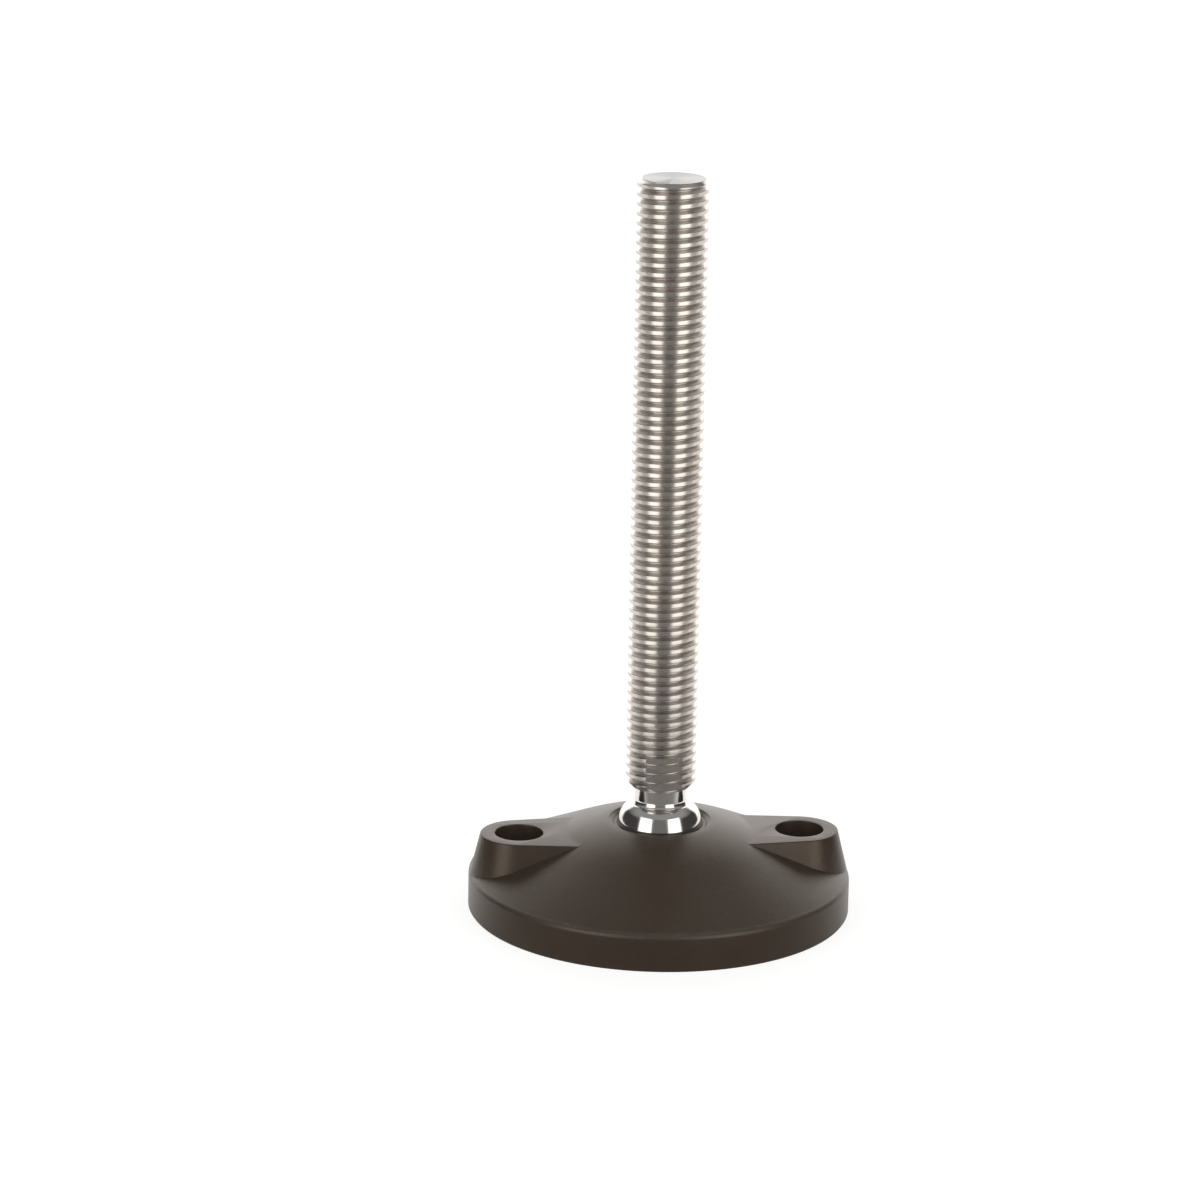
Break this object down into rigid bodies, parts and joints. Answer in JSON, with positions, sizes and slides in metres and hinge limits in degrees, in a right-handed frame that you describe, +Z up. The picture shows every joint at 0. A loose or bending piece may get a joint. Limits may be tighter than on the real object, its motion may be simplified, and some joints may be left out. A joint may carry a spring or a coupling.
{
  "type": "furniture leveling foot",
  "caption": "Bolt-down levelling foot: ribbed plastic base with two drilled lugs and a ball-jointed threaded steel spindle with wrench flats.",
  "frame": {"origin": "centre of the round underside, on the floor", "axes": "+Z up along the spindle at rest, X through the two bolt-down lugs"},
  "size_m": [0.103, 0.103, 0.1992],
  "materials": {
    "black_plastic": "fine moulded texture, matt",
    "polished_steel": "polished",
    "satin_steel": "satin, as turned and rolled"
  },
  "bodies": {
    "base": {"foot_base": "black_plastic"},
    "ball": {"ball": "polished_steel"},
    "neck": {"neck": "polished_steel"},
    "spindle": {"threaded_spindle": "satin_steel"}
  },
  "joints": [
    {"name": "tilt_fore", "type": "hinge", "parent": "base", "child": "ball", "pos_m": [0, 0, 0.0215], "axis": [1, 0, 0], "range_deg": [-15, 15]},
    {"name": "tilt_side", "type": "hinge", "parent": "ball", "child": "neck", "pos_m": [0, 0, 0.0215], "axis": [0, 1, 0], "range_deg": [-15, 15]},
    {"name": "spindle_turn", "type": "hinge", "parent": "neck", "child": "spindle", "pos_m": [0, 0, 0.0342], "axis": [0, 0, 1], "continuous": true}
  ]
}
